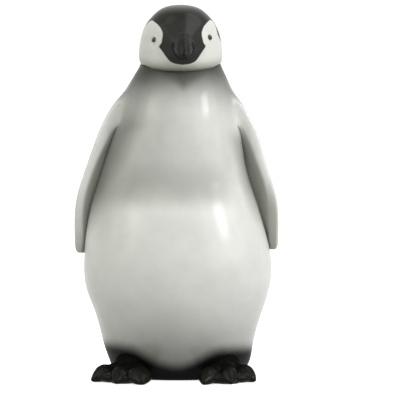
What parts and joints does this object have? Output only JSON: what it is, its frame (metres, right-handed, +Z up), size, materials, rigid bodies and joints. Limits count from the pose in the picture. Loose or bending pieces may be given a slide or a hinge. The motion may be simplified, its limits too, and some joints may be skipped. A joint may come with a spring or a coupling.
{
  "type": "penguin chick figurine",
  "caption": "Standing penguin chick figurine: hollow painted body with a black-capped head, hanging flippers, black toed feet and a felted base.",
  "frame": {"origin": "middle of the base felt's standing face, on the ground", "axes": "+Z up through the head; the figure faces -Y; its own left side is +X"},
  "size_m": [0.1106, 0.0986, 0.2005],
  "materials": {
    "body_paint": "airbrushed white and grey under satin lacquer",
    "head_paint": "black and white under satin lacquer",
    "bill_paint": "black under satin lacquer",
    "eye_bead": "polished",
    "flipper_paint": "airbrushed light and dark grey under satin lacquer",
    "foot_paint": "black under satin lacquer",
    "tail_paint": "airbrushed dark grey under satin lacquer",
    "plate_resin": "as cast",
    "pin_steel": "cut rod",
    "felt": "pressed felt"
  },
  "bodies": {
    "root": {"body_shell": "body_paint", "head_shell": "head_paint", "upper_bill": "bill_paint", "lower_bill": "bill_paint", "right_eye": "eye_bead", "left_eye": "eye_bead", "right_flipper": "flipper_paint", "left_flipper": "flipper_paint", "flipper_pins": "pin_steel", "right_foot": "foot_paint", "left_foot": "foot_paint", "foot_pins": "pin_steel", "tail": "tail_paint", "base_plate": "plate_resin", "base_felt": "felt", "right_sole_felt": "felt", "left_sole_felt": "felt"}
  },
  "joints": []
}
